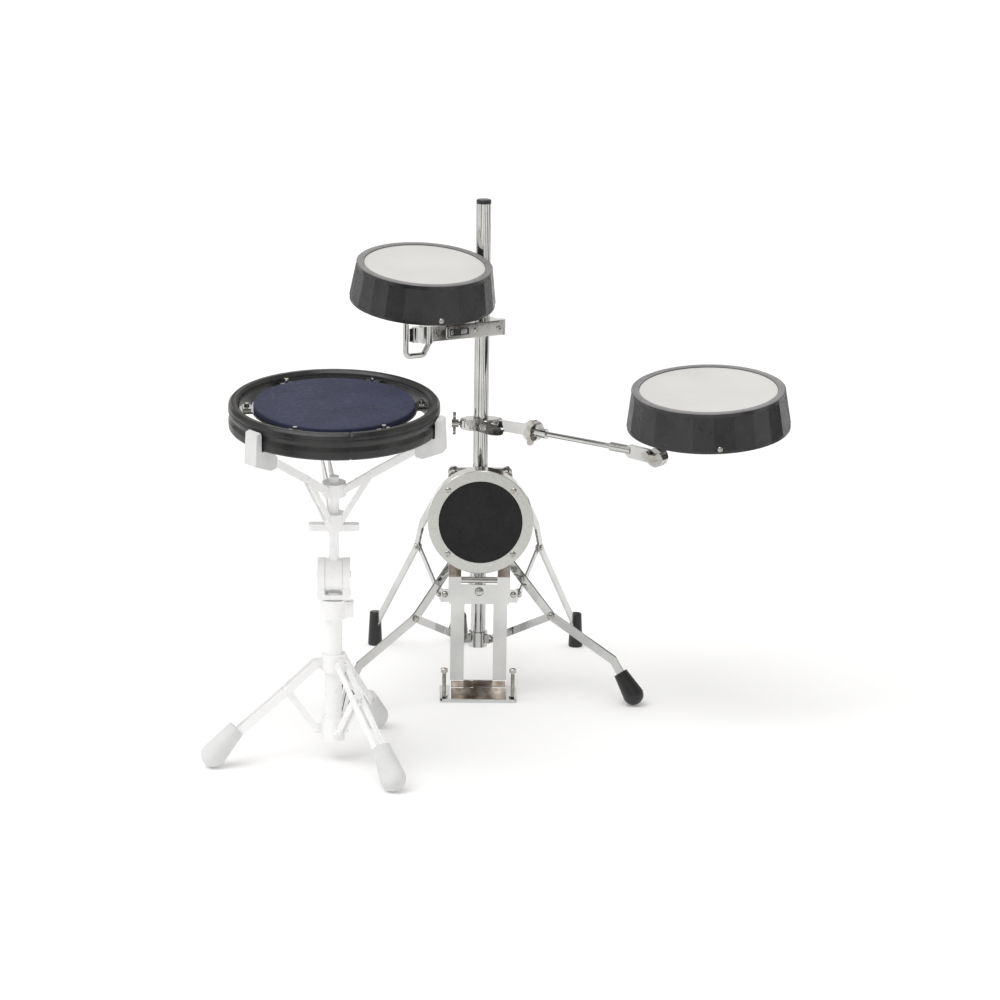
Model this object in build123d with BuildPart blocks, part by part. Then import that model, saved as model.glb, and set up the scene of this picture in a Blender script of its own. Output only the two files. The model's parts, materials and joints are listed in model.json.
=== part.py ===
from build123d import *
from math import atan2, cos, degrees, radians, sin, sqrt
import os

# Practice-pad set: a rack with a kick pad and two tom pads, and a snare pad on its own stand.
# Millimetres, +Z up. The origin is on the floor, at the middle of the kick base plate's underside;
# the player sits on the -Y side.

os.makedirs("parts", exist_ok=True)

# ---------------------------------------------------------------- driving dimensions
FIT = 0.10            # radial clearance of parts that turn or slide on one another
GAP = 0.40            # gap between faces of parts that swing past one another

COL_Y = 62.0          # the column stands this far behind the origin
COL_R = 12.7          # 25.4 mm tube
COL_WALL = 1.6
COL_Z0 = 72.0
COL_Z1 = 849.0
CAP_Z1 = 856.0

LEG_TURN = 6.2        # the tripod is turned a little on the column
LEG_AZ = [60.0 + LEG_TURN, 180.0 + LEG_TURN, -60.0 + LEG_TURN]
LEG_T = 4.0           # leg strip thickness
LEG_W = 15.0          # leg strip width
HUB_R = 38.0          # leg pivot, from the column axis
HUB_Z = 250.0
RIVET_R = 136.0       # leg-to-brace rivet
RIVET_Z = 141.0
KNEE = (252.0, 76.0)
ANKLE = (285.0, 27.0)
EAR_R = 25.0          # brace pivot on the bottom collar
EAR_Z = 87.0
BRACE_T = 3.0
BRACE_C = 3.9         # middle of the brace, off the leg plane
PIN_R = 3.0
OPEN_PIVOT = 1.0      # clearance of the brace rivet in its leg

KICK_Y = COL_Y - 103  # front face of the kick ring
KICK_Z = 317.0
RING_R = 90.0
PAD_R = 71.5
SHELL_D = 36.0
FRAME_Y = 2.0         # front face of the upright frame
FRAME_T = 4.0
PLATE_HALF = 51.5
UP_OUT = 48.5
UP_IN = 25.0
PLATE_Z0 = 162.0
PLATE_Z1 = 196.0
BASE_HALF = 66.0
BASE_Y0 = -49.0
BASE_Y1 = 49.0
SPIKE_X = 59.0
SPIKE_Y = -34.0

SIDE_TOP = (84.0, COL_Y - 14.0)      # kick side leg: top pivot seen from above
SIDE_FOOT = (181.0, COL_Y + 263.0)
SIDE_TOP_PIN = (-38.0, 355.0)
SIDE_RIVET = (72.0, 235.0)           # in the leg's own upright plane: rearward, up
SIDE_LOW = (-34.0, 176.0)
SIDE_END = (286.0, 42.0)
SIDE_W = 16.0
SIDE_T = 4.0

TOM1_HEAD = (-99.6, COL_Y - 105.0, 761.6)
TOM1_N = (0.052, -0.152, 0.987)
TOM1_R = (122.5, 114.5, 101.5, 65.0)      # bottom, top, head radius, height
TOM2_HEAD = (377.3, COL_Y - 172.0, 566.6)
TOM2_N = (-0.035, -0.126, 0.991)
TOM2_R = (137.5, 129.5, 116.0, 66.0)

FAST_Z = 638.0
FAST_A = (-113.0, COL_Y - 87.5)
FAST_B = (32.0, COL_Y - 6.4)
LROD_X = -130.0
LROD_Y = COL_Y - 97.0
LROD_R = 4.8

CLAMP_Z = 467.0
BALL_A = (88.0, COL_Y - 60.0, 468.0)
ROD_END = (250.0, COL_Y - 175.0, 463.0)
BALL_B = (292.0, COL_Y - 205.0, 457.0)
ROD_R = 4.6

SNARE = (-242.4, COL_Y - 485.3, 607.5)    # middle of the hoop's top rim
SNARE_N = (0.0, -0.1132, 0.9936)
HOOP_R = 169.0
HOOP_H = 44.0
SNARE_PAD_R = 129.0
STAND_X = -242.4
STAND_Y = COL_Y - 452.0
STAND_AZ = [30.0, 160.0, -76.0]
BASKET_AZ = [-45.0, 75.0, 195.0]


# ---------------------------------------------------------------- helpers
def bar(p, q, width):
    """A strip with round ends between two sketch points."""
    dx, dy = q[0] - p[0], q[1] - p[1]
    with Locations(((p[0] + q[0]) / 2, (p[1] + q[1]) / 2)):
        Rectangle(sqrt(dx * dx + dy * dy), width, rotation=degrees(atan2(dy, dx)))
    with Locations(p, q):
        Circle(width / 2)


def radial_plane(az, x0=0.0, y0=COL_Y, shift=0.0):
    """Upright plane through an axis: local x points outward at az from the front, local y is up."""
    a = radians(az)
    n = (-cos(a), -sin(a), 0.0)
    return Plane(origin=(x0 + n[0] * shift, y0 + n[1] * shift, 0), x_dir=(sin(a), -cos(a), 0), z_dir=n)


def side_plane(side, shift):
    """Upright plane of a kick side leg: local x runs rearward, shift is outward."""
    dx = side * (SIDE_FOOT[0] - SIDE_TOP[0])
    dy = SIDE_FOOT[1] - SIDE_TOP[1]
    length = sqrt(dx * dx + dy * dy)
    n = (dy / length, -dx / length, 0.0)
    origin = (side * SIDE_TOP[0] + side * shift * n[0], SIDE_TOP[1] + side * shift * n[1], 0)
    return Plane(origin=origin, x_dir=(dx, dy, 0), z_dir=n)


def tilted(head, n, height):
    """Plane of a pad's underside: origin under the head's middle, z along the pad's own axis."""
    length = sqrt(n[0] ** 2 + n[1] ** 2 + n[2] ** 2)
    n = (n[0] / length, n[1] / length, n[2] / length)
    o = (head[0] - n[0] * height, head[1] - n[1] * height, head[2] - n[2] * height)
    return Plane(origin=o, x_dir=(n[2], 0, -n[0]), z_dir=n)


def along(p, q):
    """Plane at p whose z axis points to q."""
    return Plane(origin=p, z_dir=(q[0] - p[0], q[1] - p[1], q[2] - p[2]))


def span(p, q):
    return sqrt(sum((b - a) ** 2 for a, b in zip(p, q)))


def rod(p, q, r):
    """A round bar between two points, added to the current part."""
    with BuildSketch(along(p, q)) as section:
        Circle(r)
    extrude(section.sketch, amount=span(p, q))


def save(builder, label):
    builder.part.label = label
    export_step(builder.part, "parts/" + label + ".step")


# ---------------------------------------------------------------- column
with BuildPart() as column_tube:
    with BuildSketch(Plane.XY.offset(COL_Z0)):
        with Locations((0, COL_Y)):
            Circle(COL_R)
            Circle(COL_R - COL_WALL, mode=Mode.SUBTRACT)
    extrude(amount=COL_Z1 - COL_Z0)
save(column_tube, "column_tube")

with BuildPart() as column_cap:
    with BuildSketch(Plane.XY.offset(COL_Z1)):
        with Locations((0, COL_Y)):
            Circle(COL_R)
    extrude(amount=CAP_Z1 - COL_Z1)
    fillet(column_cap.edges().group_by(Axis.Z)[-1], 2.0)
    with BuildSketch(Plane.XY.offset(COL_Z1 - 16)):
        with Locations((0, COL_Y)):
            Circle(COL_R - COL_WALL - 0.05)
    extrude(amount=16)
save(column_cap, "column_cap")


# ---------------------------------------------------------------- tripod
def ears(az, r_pin, z_pin, r_in, mid, inner, thick, size):
    """Two cheeks and the rivet through them; mid is the middle of the gap off the radial plane."""
    for side in (-1, 1):
        start = mid + side * (inner / 2 + GAP / 2)
        with BuildSketch(radial_plane(az, shift=start)) as cheek:
            with BuildLine():
                Polyline((r_in, z_pin - size), (r_pin, z_pin - size), (r_pin + size * 0.8, z_pin),
                         (r_pin, z_pin + size), (r_in, z_pin + size), close=True)
            make_face()
        extrude(cheek.sketch, amount=side * thick)
    reach = inner / 2 + GAP / 2 + thick
    with BuildSketch(radial_plane(az, shift=mid - reach)) as pin:
        with Locations((r_pin, z_pin)):
            Circle(PIN_R)
    extrude(pin.sketch, amount=2 * reach)
    for side in (-1, 1):
        with BuildSketch(radial_plane(az, shift=mid + side * reach)) as head:
            with Locations((r_pin, z_pin)):
                Circle(PIN_R + 2)
        extrude(head.sketch, amount=side * 1.6)


with BuildPart() as lower_collar:
    with BuildSketch(Plane.XY.offset(COL_Z0)):
        with Locations((0, COL_Y)):
            Circle(16.5)
    extrude(amount=26)
    for az in LEG_AZ:
        ears(az, EAR_R, EAR_Z, 12.0, BRACE_C, BRACE_T, 2.6, 7.0)
    with BuildSketch(Plane.XY.offset(COL_Z0 - 1)):
        with Locations((0, COL_Y)):
            Circle(COL_R + 0.02)
    extrude(amount=60, mode=Mode.SUBTRACT)
save(lower_collar, "lower_collar")

with BuildPart() as leg_hub:
    with BuildSketch(Plane.XY.offset(HUB_Z - 12)):
        with Locations((0, COL_Y)):
            Circle(19.0)
    extrude(amount=24)
    for az in LEG_AZ:
        ears(az, HUB_R, HUB_Z, 14.0, 0.0, LEG_T, 3.0, 8.5)
    with BuildSketch(Plane.XY.offset(HUB_Z - 40)):
        with Locations((0, COL_Y)):
            Circle(COL_R + FIT)
    extrude(amount=80, mode=Mode.SUBTRACT)
save(leg_hub, "leg_hub")


def tripod_leg(az):
    with BuildPart() as leg:
        with BuildSketch(radial_plane(az, shift=-LEG_T / 2)):
            bar((HUB_R, HUB_Z), (RIVET_R, RIVET_Z), LEG_W)
            bar((RIVET_R, RIVET_Z), KNEE, LEG_W)
            bar(KNEE, ANKLE, LEG_W - 1)
            with Locations((HUB_R, HUB_Z)):
                Circle(PIN_R + FIT, mode=Mode.SUBTRACT)
            with Locations((RIVET_R, RIVET_Z)):
                Circle(PIN_R + OPEN_PIVOT, mode=Mode.SUBTRACT)
        extrude(amount=LEG_T)
    return leg


def tripod_brace(az):
    with BuildPart() as brace:
        with BuildSketch(radial_plane(az, shift=BRACE_C - BRACE_T / 2)):
            bar((EAR_R, EAR_Z), (RIVET_R, RIVET_Z), 13.0)
            with Locations((EAR_R, EAR_Z)):
                Circle(PIN_R + FIT, mode=Mode.SUBTRACT)
        extrude(amount=BRACE_T)
        with BuildSketch(radial_plane(az, shift=-LEG_T / 2 - GAP)):
            with Locations((RIVET_R, RIVET_Z)):
                Circle(PIN_R)
        extrude(amount=LEG_T + 2 * GAP + 0.2)
        with BuildSketch(radial_plane(az, shift=-LEG_T / 2 - GAP)):
            with Locations((RIVET_R, RIVET_Z)):
                Circle(PIN_R + 2.6)
        extrude(amount=-1.8)
    return brace


def tripod_foot(az):
    top = (266.0, 55.0)
    end = (290.5, 19.0)
    ux, uz = end[0] - top[0], end[1] - top[1]
    length = sqrt(ux * ux + uz * uz)
    ux, uz = ux / length, uz / length
    nx, nz = uz, -ux
    with BuildPart() as foot:
        with BuildSketch(radial_plane(az)):
            with BuildLine():
                a = (top[0] - nx * 12, top[1] - nz * 12)
                b = (end[0] - nx * 18, end[1] - nz * 18)
                m = (end[0] + ux * 18, end[1] + uz * 18)
                Polyline(m, end, top, a, b)
                RadiusArc(b, m, 18, short_sagitta=True)
            make_face()
        axis = Axis(radial_plane(az).from_local_coords(Vector(top[0], top[1], 0)),
                    radial_plane(az).from_local_coords(Vector(end[0], end[1], 0))
                    - radial_plane(az).from_local_coords(Vector(top[0], top[1], 0)))
        revolve(axis=axis)
        with BuildSketch(Plane.XY):
            with Locations((0, COL_Y)):
                Rectangle(900, 900)
        extrude(amount=-60, mode=Mode.SUBTRACT)
        with BuildSketch(radial_plane(az, shift=-LEG_T / 2)):
            bar(KNEE, ANKLE, LEG_W - 1)
        extrude(amount=LEG_T, mode=Mode.SUBTRACT)
    return foot


for index, az in enumerate(LEG_AZ, start=1):
    save(tripod_leg(az), f"leg_{index}")
    save(tripod_brace(az), f"brace_{index}")
    save(tripod_foot(az), f"foot_{index}")


# ---------------------------------------------------------------- kick pad
KICK_PLANE = Plane(origin=(0, KICK_Y, KICK_Z), x_dir=(1, 0, 0), z_dir=(0, -1, 0))

with BuildPart() as kick_ring:
    with BuildSketch(KICK_PLANE.offset(-3.0)):
        Circle(RING_R)
        Circle(PAD_R, mode=Mode.SUBTRACT)
        with PolarLocations(78.5, 4, start_angle=45):
            Circle(2.1, mode=Mode.SUBTRACT)
    extrude(amount=3.0)
    chamfer(kick_ring.edges().filter_by(GeomType.CIRCLE).group_by(Axis.Y)[0].sort_by(SortBy.RADIUS)[-1], 1.0)
save(kick_ring, "kick_ring")

with BuildPart() as kick_shell:
    with BuildSketch(KICK_PLANE.offset(-3.0 - SHELL_D)):
        Circle(RING_R - 1.0)
    extrude(amount=SHELL_D)
    with BuildSketch(KICK_PLANE.offset(-SHELL_D)):
        Circle(RING_R - 4.0)
    extrude(amount=SHELL_D, mode=Mode.SUBTRACT)
    with BuildSketch(KICK_PLANE.offset(-SHELL_D)):
        with PolarLocations(78.5, 4, start_angle=45):
            Circle(5.0)
    extrude(amount=SHELL_D - 3.0)
    with BuildSketch(KICK_PLANE.offset(-14.0)):
        with PolarLocations(78.5, 4, start_angle=45):
            Circle(2.0)
    extrude(amount=14.0, mode=Mode.SUBTRACT)
    fillet(kick_shell.edges().filter_by(GeomType.CIRCLE).group_by(Axis.Y)[-1], 2.0)
save(kick_shell, "kick_shell")

with BuildPart() as kick_foam:
    with BuildSketch(KICK_PLANE.offset(-SHELL_D)):
        Circle(71.0)
    extrude(amount=SHELL_D - 6.0)
save(kick_foam, "kick_foam")

with BuildPart() as kick_pad:
    with BuildSketch(KICK_PLANE.offset(-6.0)):
        Circle(PAD_R - 0.2)
    extrude(amount=7.0)
    fillet(kick_pad.edges().filter_by(GeomType.CIRCLE).group_by(Axis.Y)[0], 1.5)
save(kick_pad, "kick_pad")

with BuildPart() as kick_screws:
    with BuildSketch(KICK_PLANE.offset(-12.0)):
        with PolarLocations(78.5, 4, start_angle=45):
            Circle(1.9)
    extrude(amount=12.0)
    with BuildSketch(KICK_PLANE):
        with PolarLocations(78.5, 4, start_angle=45):
            Circle(5.2)
    extrude(amount=2.6, taper=25)
save(kick_screws, "kick_screws")

BACK_Y = KICK_Y + 3.0 + SHELL_D        # rear face of the shell
with BuildPart() as kick_bracket:
    with BuildSketch(Plane(origin=(0, BACK_Y + 4.0, KICK_Z), x_dir=(1, 0, 0), z_dir=(0, -1, 0))):
        Circle(RING_R - 4.0)
    extrude(amount=4.0)
    for x0 in (-53, 31):
        with BuildSketch(Plane(origin=(x0, 0, 0), x_dir=(0, 1, 0), z_dir=(1, 0, 0))):
            with BuildLine():
                Polyline((BACK_Y, 250), (BACK_Y + 4, 250), (BACK_Y + 4, 213), (FRAME_Y - 0.1, 208),
                         (FRAME_Y - 0.1, 188), (FRAME_Y - 4, 188), (FRAME_Y - 4, 210), close=True)
            make_face()
        extrude(amount=22)
    with BuildSketch(Plane(origin=(-31, 0, 0), x_dir=(0, 1, 0), z_dir=(1, 0, 0))):
        with Locations((BACK_Y + 4, 205)):
            Circle(5.5)
    extrude(amount=62)
    for side in (-1, 1):
        with BuildSketch(side_plane(side, -4.0)):
            with BuildLine():
                Polyline((-50, 340), (-32, 344), (-28, 355), (-32, 366), (-50, 370), close=True)
            make_face()
            with Locations(SIDE_TOP_PIN):
                Circle(PIN_R, mode=Mode.SUBTRACT)
        extrude(amount=1.5, both=True)
save(kick_bracket, "kick_bracket")

with BuildPart() as kick_frame:
    with BuildSketch(Plane(origin=(0, FRAME_Y, 0), x_dir=(1, 0, 0), z_dir=(0, -1, 0))):
        with Locations((0, (PLATE_Z0 + PLATE_Z1) / 2)):
            Rectangle(2 * PLATE_HALF, PLATE_Z1 - PLATE_Z0)
        with Locations((0, (PLATE_Z0 + 26) / 2)):
            Rectangle(2 * UP_OUT, PLATE_Z0 - 26)
            Rectangle(2 * UP_IN, PLATE_Z0 - 26, mode=Mode.SUBTRACT)
        with Locations((0, 184)):
            Circle(3.0, mode=Mode.SUBTRACT)
    extrude(amount=-FRAME_T)
    for side in (-1, 1):
        with BuildSketch(Plane.XY.offset(26)):
            with Locations((side * (UP_OUT - 1.5), FRAME_Y + 8)):
                Rectangle(3, 16)
        extrude(amount=PLATE_Z0 - 26)
    with BuildSketch(Plane(origin=(-UP_OUT, 0, 0), x_dir=(0, 1, 0), z_dir=(1, 0, 0))):
        with BuildLine():
            Polyline((FRAME_Y, 26), (FRAME_Y + FRAME_T, 26), (FRAME_Y + FRAME_T, 20), (-38, 3),
                     (-46, 3), (-46, 5), close=True)
        make_face()
    extrude(amount=2 * UP_OUT)
save(kick_frame, "kick_frame")

with BuildPart() as base_plate:
    with BuildSketch():
        with Locations((0, (BASE_Y0 + BASE_Y1) / 2)):
            RectangleRounded(2 * BASE_HALF, BASE_Y1 - BASE_Y0, 4)
    extrude(amount=3)
    with BuildSketch(Plane.XY.offset(3)):
        with Locations((0, BASE_Y0 + 1.5)):
            Rectangle(2 * BASE_HALF - 8, 3)
    extrude(amount=3)
    with BuildSketch(Plane.XY.offset(3)):
        with Locations((-SPIKE_X, SPIKE_Y), (SPIKE_X, SPIKE_Y)):
            RegularPolygon(6.4, 6)
    extrude(amount=6)
    with BuildSketch():
        with Locations((-SPIKE_X, SPIKE_Y), (SPIKE_X, SPIKE_Y)):
            Circle(2.9 + FIT)
        with Locations((-53, -42.5), (53, -42.5)):
            Circle(1.6)
    extrude(amount=12, mode=Mode.SUBTRACT)
save(base_plate, "base_plate")

with BuildPart() as frame_screws:
    with BuildSketch(Plane(origin=(0, FRAME_Y + 8, 184), x_dir=(1, 0, 0), z_dir=(0, -1, 0))):
        Circle(2.9)
    extrude(amount=8)
    with BuildSketch(Plane(origin=(0, FRAME_Y, 184), x_dir=(1, 0, 0), z_dir=(0, -1, 0))):
        Circle(7.5)
    extrude(amount=4.5, taper=32)
    with BuildSketch(Plane.XY.offset(1)):
        with Locations((-53, -42.5), (53, -42.5)):
            Circle(1.5)
    extrude(amount=2)
    with BuildSketch(Plane.XY.offset(3)):
        with Locations((-53, -42.5), (53, -42.5)):
            Circle(3.2)
    extrude(amount=2, taper=25)
save(frame_screws, "frame_screws")


def spike(side):
    with BuildPart() as pin:
        with Locations((side * SPIKE_X, SPIKE_Y, 0.2)):
            Cone(0.4, 2.8, 5, align=(Align.CENTER, Align.CENTER, Align.MIN))
        with BuildSketch(Plane.XY.offset(5.2)):
            with Locations((side * SPIKE_X, SPIKE_Y)):
                Circle(2.9)
        extrude(amount=45)
        with BuildSketch(Plane.XY.offset(50.2)):
            with Locations((side * SPIKE_X, SPIKE_Y)):
                Circle(6.0)
        extrude(amount=7)
        chamfer(pin.edges().group_by(Axis.Z)[-1], 1.0)
        with BuildSketch(Plane.XY.offset(53.5)):
            with Locations((side * SPIKE_X, SPIKE_Y)):
                RegularPolygon(3.0, 6)
        extrude(amount=6, mode=Mode.SUBTRACT)
    return pin


save(spike(-1), "spike_left")
save(spike(1), "spike_right")


# ---------------------------------------------------------------- kick saddle on the column
SADDLE_Z = 378.0
SADDLE_BOLTS = [(-46, 0), (46, 0)]
with BuildPart() as saddle_clamp:
    for y0 in (COL_Y - 22, COL_Y + 12):
        with BuildSketch(Plane(origin=(0, y0, SADDLE_Z), x_dir=(1, 0, 0), z_dir=(0, 1, 0))):
            Rectangle(92, 14)
            with Locations(*SADDLE_BOLTS):
                Circle(9.5)
        extrude(amount=10)
    with BuildSketch(Plane.XY.offset(SADDLE_Z - 7)):
        with Locations((-24, (BACK_Y + 4 + COL_Y - 20) / 2), (24, (BACK_Y + 4 + COL_Y - 20) / 2)):
            Rectangle(12, COL_Y - 20 - BACK_Y - 4)
    extrude(amount=14)
    with BuildSketch(Plane.XY.offset(SADDLE_Z - 20)):
        with Locations((0, COL_Y)):
            Circle(COL_R + 0.02)
    extrude(amount=40, mode=Mode.SUBTRACT)
    with BuildSketch(Plane(origin=(0, COL_Y - 30, SADDLE_Z), x_dir=(1, 0, 0), z_dir=(0, 1, 0))):
        with Locations(*SADDLE_BOLTS):
            Circle(3.05)
    extrude(amount=60, mode=Mode.SUBTRACT)
save(saddle_clamp, "saddle_clamp")

with BuildPart() as saddle_bolts:
    with BuildSketch(Plane(origin=(0, COL_Y - 30, SADDLE_Z), x_dir=(1, 0, 0), z_dir=(0, 1, 0))):
        with Locations(*SADDLE_BOLTS):
            Circle(3.0)
    extrude(amount=60)
    for y0, depth in ((COL_Y - 31, 9), (COL_Y + 22, 6)):
        with BuildSketch(Plane(origin=(0, y0, SADDLE_Z), x_dir=(1, 0, 0), z_dir=(0, 1, 0))):
            with Locations(*SADDLE_BOLTS):
                RegularPolygon(7.0, 6)
        extrude(amount=depth)
save(saddle_bolts, "saddle_bolts")


# ---------------------------------------------------------------- kick side legs
with BuildPart() as side_legs:
    for side in (-1, 1):
        with BuildSketch(side_plane(side, 0.0)):
            bar(SIDE_TOP_PIN, (48, 280), SIDE_W)
            bar((48, 280), SIDE_RIVET, SIDE_W)
            bar(SIDE_RIVET, SIDE_END, SIDE_W - 2)
            with Locations(SIDE_TOP_PIN, SIDE_RIVET):
                Circle(PIN_R, mode=Mode.SUBTRACT)
        extrude(amount=SIDE_T / 2, both=True)
save(side_legs, "side_legs")

with BuildPart() as side_braces:
    for side in (-1, 1):
        with BuildSketch(side_plane(side, -4.0)):
            bar(SIDE_RIVET, SIDE_LOW, 11.0)
            with Locations(SIDE_LOW, SIDE_RIVET):
                Circle(PIN_R, mode=Mode.SUBTRACT)
        extrude(amount=1.5, both=True)
save(side_braces, "side_braces")

with BuildPart() as side_brackets:
    for side in (-1, 1):
        with BuildSketch(Plane.XY.offset(164)):
            with Locations((side * 54, FRAME_Y + FRAME_T + 2.5)):
                Rectangle(24, 5)
        extrude(amount=22)
        with BuildSketch(side_plane(side, -7.0)):
            with BuildLine():
                Polyline((-46, 164), (-32, 165), (-25, 176), (-32, 186), (-46, 186), close=True)
            make_face()
            with Locations(SIDE_LOW):
                Circle(PIN_R, mode=Mode.SUBTRACT)
        extrude(amount=1.5, both=True)
save(side_brackets, "side_brackets")

with BuildPart() as side_rivets:
    for side in (-1, 1):
        for where, low, high in ((SIDE_TOP_PIN, -5.5, 2.0), (SIDE_RIVET, -5.5, 2.0), (SIDE_LOW, -8.5, -2.5)):
            with BuildSketch(side_plane(side, low)):
                with Locations(where):
                    Circle(PIN_R)
            extrude(amount=side * (high - low))
            for level, way in ((low, -1), (high, 1)):
                with BuildSketch(side_plane(side, level)):
                    with Locations(where):
                        Circle(5.6)
                extrude(amount=way * side * 2.4, taper=20)
save(side_rivets, "side_rivets")

with BuildPart() as side_feet:
    for side in (-1, 1):
        with BuildSketch():
            with Locations((side * SIDE_FOOT[0], SIDE_FOOT[1])):
                Circle(13.0)
        with BuildSketch(Plane.XY.offset(62)):
            with Locations((side * SIDE_FOOT[0], SIDE_FOOT[1])):
                Circle(10.0)
        loft()
    fillet(side_feet.edges().group_by(Axis.Z)[0], 2.5)
    fillet(side_feet.edges().group_by(Axis.Z)[-1], 2.5)
    for side in (-1, 1):
        with BuildSketch(side_plane(side, 0.0)):
            bar(SIDE_RIVET, SIDE_END, SIDE_W - 2)
        extrude(amount=SIDE_T / 2, both=True, mode=Mode.SUBTRACT)
save(side_feet, "side_feet")


# ---------------------------------------------------------------- tom pads
def tom_shell(plane, r_low, r_top, r_head, height):
    """Faceted tapering shell, open below, with a rim round the head."""
    with BuildPart() as shell:
        with BuildSketch(plane):
            Circle(r_low)
        extrude(amount=5)
        with BuildSketch(plane.offset(5)):
            RegularPolygon(r_low + 0.8, 24)
        with BuildSketch(plane.offset(height - 6)):
            RegularPolygon(r_top + 0.8, 24)
        loft()
        with BuildSketch(plane.offset(height - 6)):
            Circle(r_top)
        extrude(amount=6)
        with BuildSketch(plane.offset(-1)):
            Circle(r_head + 3.5)
        extrude(amount=height - 3, mode=Mode.SUBTRACT)
        with BuildSketch(plane.offset(height - 5)):
            Circle(r_head + 0.3)
        extrude(amount=6, mode=Mode.SUBTRACT)
    return shell


def tom_head(plane, r_head, height):
    with BuildPart() as head:
        with BuildSketch(plane.offset(height - 14)):
            Circle(r_head - 4)
        extrude(amount=8)
        with BuildSketch(plane.offset(height - 6)):
            Circle(r_head)
        extrude(amount=5.2)
    return head


def tom_base(plane, r_head, height, post):
    """Bottom plate with a middle drum under the head and a socket for the upright post."""
    with BuildPart() as base:
        with BuildSketch(plane.offset(2)):
            Circle(r_head + 3.3)
        extrude(amount=4)
        with BuildSketch(plane.offset(6)):
            Circle(r_head - 20)
        extrude(amount=height - 20)
        with BuildSketch(Plane.XY.offset(post[2] - 9)):
            with Locations((post[0], post[1])):
                Circle(12)
        extrude(amount=20)
        with BuildSketch(Plane.XY.offset(post[2] - 20)):
            with Locations((post[0], post[1])):
                Circle(post[3] + FIT)
        extrude(amount=post[4] - post[2] + 21, mode=Mode.SUBTRACT)
    return base


TOM1 = tilted(TOM1_HEAD, TOM1_N, TOM1_R[3])
TOM2 = tilted(TOM2_HEAD, TOM2_N, TOM2_R[3])
TOM1_POST = (LROD_X, LROD_Y, 698.5, LROD_R, 716.0)
POST2_R = 4.8
HALF_T = 9.0          # one half of a ratchet
d2 = span(BALL_A[:2], ROD_END[:2])
AIM = ((ROD_END[0] - BALL_A[0]) / d2, (ROD_END[1] - BALL_A[1]) / d2)
SIDEWAY = (AIM[1], -AIM[0])                      # across the tom rod, toward the player


def off(p, amount):
    """The point moved across the tom rod."""
    return (p[0] + SIDEWAY[0] * amount, p[1] + SIDEWAY[1] * amount, p[2])


def across(p, amount):
    """Upright plane through the moved point, facing across the tom rod."""
    return Plane(origin=off(p, amount), x_dir=(AIM[0], AIM[1], 0), z_dir=(SIDEWAY[0], SIDEWAY[1], 0))


POST2 = off(BALL_B, -HALF_T / 2 - 0.2)
TOM2_POST = (POST2[0], POST2[1], 493.0, POST2_R, 510.0)

for name, plane, size, post in (("tom1", TOM1, TOM1_R, TOM1_POST), ("tom2", TOM2, TOM2_R, TOM2_POST)):
    save(tom_shell(plane, *size), name + "_shell")
    save(tom_head(plane, size[2], size[3]), name + "_head")
    save(tom_base(plane, size[2], size[3], post), name + "_base")


# ---------------------------------------------------------------- fast clamp and bent rod of tom 1
bx, by = FAST_B[0] - FAST_A[0], FAST_B[1] - FAST_A[1]
bar_len = sqrt(bx * bx + by * by)
bx, by = bx / bar_len, by / bar_len
ROD_FOOT = (LROD_X, LROD_Y, 602.0)
ROD_TURN = (LROD_X + bx * 34, LROD_Y + by * 34, 602.0)
ROD_TIP = (ROD_TURN[0] + bx * 19.5, ROD_TURN[1] + by * 19.5, 636.5)
ROD_TOP = (LROD_X, LROD_Y, 715.0)

with BuildPart() as fast_clamp:
    with BuildSketch(Plane.XY.offset(FAST_Z - 13)):
        bar(FAST_A, FAST_B, 15)
        with Locations((0, COL_Y)):
            Circle(21)
        with BuildLine():
            Polyline((FAST_B[0], FAST_B[1]), (FAST_B[0] - 62, FAST_B[1] - 62 * by / bx), (-16, COL_Y + 10),
                     (16, COL_Y + 10), close=True)
        make_face()
        with Locations((0, COL_Y)):
            Circle(COL_R + FIT, mode=Mode.SUBTRACT)
    extrude(amount=26)
    with BuildSketch(Plane.XY.offset(FAST_Z - 15)):
        with Locations((FAST_A[0] + bx * 20, FAST_A[1] + by * 20)):
            Circle(12)
    extrude(amount=29)
    reach = tuple(a + 1.03 * (b - a) for a, b in zip(ROD_TURN, ROD_TIP))
    with BuildSketch(along(ROD_TURN, reach)):
        Circle(LROD_R + FIT)
    extrude(amount=span(ROD_TURN, reach), mode=Mode.SUBTRACT)
    with BuildSketch(Plane.XY.offset(FAST_Z - 20)):
        with Locations((0, COL_Y + 21)):
            Rectangle(3, 20)
    extrude(amount=40, mode=Mode.SUBTRACT)
save(fast_clamp, "fast_clamp")

with BuildPart() as l_rod:
    with BuildLine():
        FilletPolyline(ROD_TOP, ROD_FOOT, ROD_TURN, ROD_TIP, radius=8)
    with BuildSketch(Plane(origin=ROD_TOP, z_dir=(0, 0, -1))):
        Circle(LROD_R)
    sweep()
save(l_rod, "l_rod")


# ---------------------------------------------------------------- lower clamp, tilters and rod of tom 2
def wing(p, amount, r_bolt, deep, size, upright=False):
    """Wing bolt across the tom rod: head at one end, wings at the other."""
    tips = [(-size, size * 0.35), (size, size * 0.35)]
    if upright:
        tips = [(size * 0.35, -size), (size * 0.35, size)]
    with BuildPart() as bolt:
        with BuildSketch(across(p, -deep)):
            Circle(r_bolt)
        extrude(amount=deep + amount)
        with BuildSketch(across(p, -deep)):
            RegularPolygon(r_bolt + 3, 6)
        extrude(amount=-4)
        with BuildSketch(across(p, amount)):
            Circle(r_bolt + 3)
        extrude(amount=9)
        with BuildSketch(across(p, amount + 5)):
            for tip in tips:
                bar(tip, (0, 0), 8)
            with Locations(*tips):
                Circle(6)
        extrude(amount=4)
    return bolt


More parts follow.
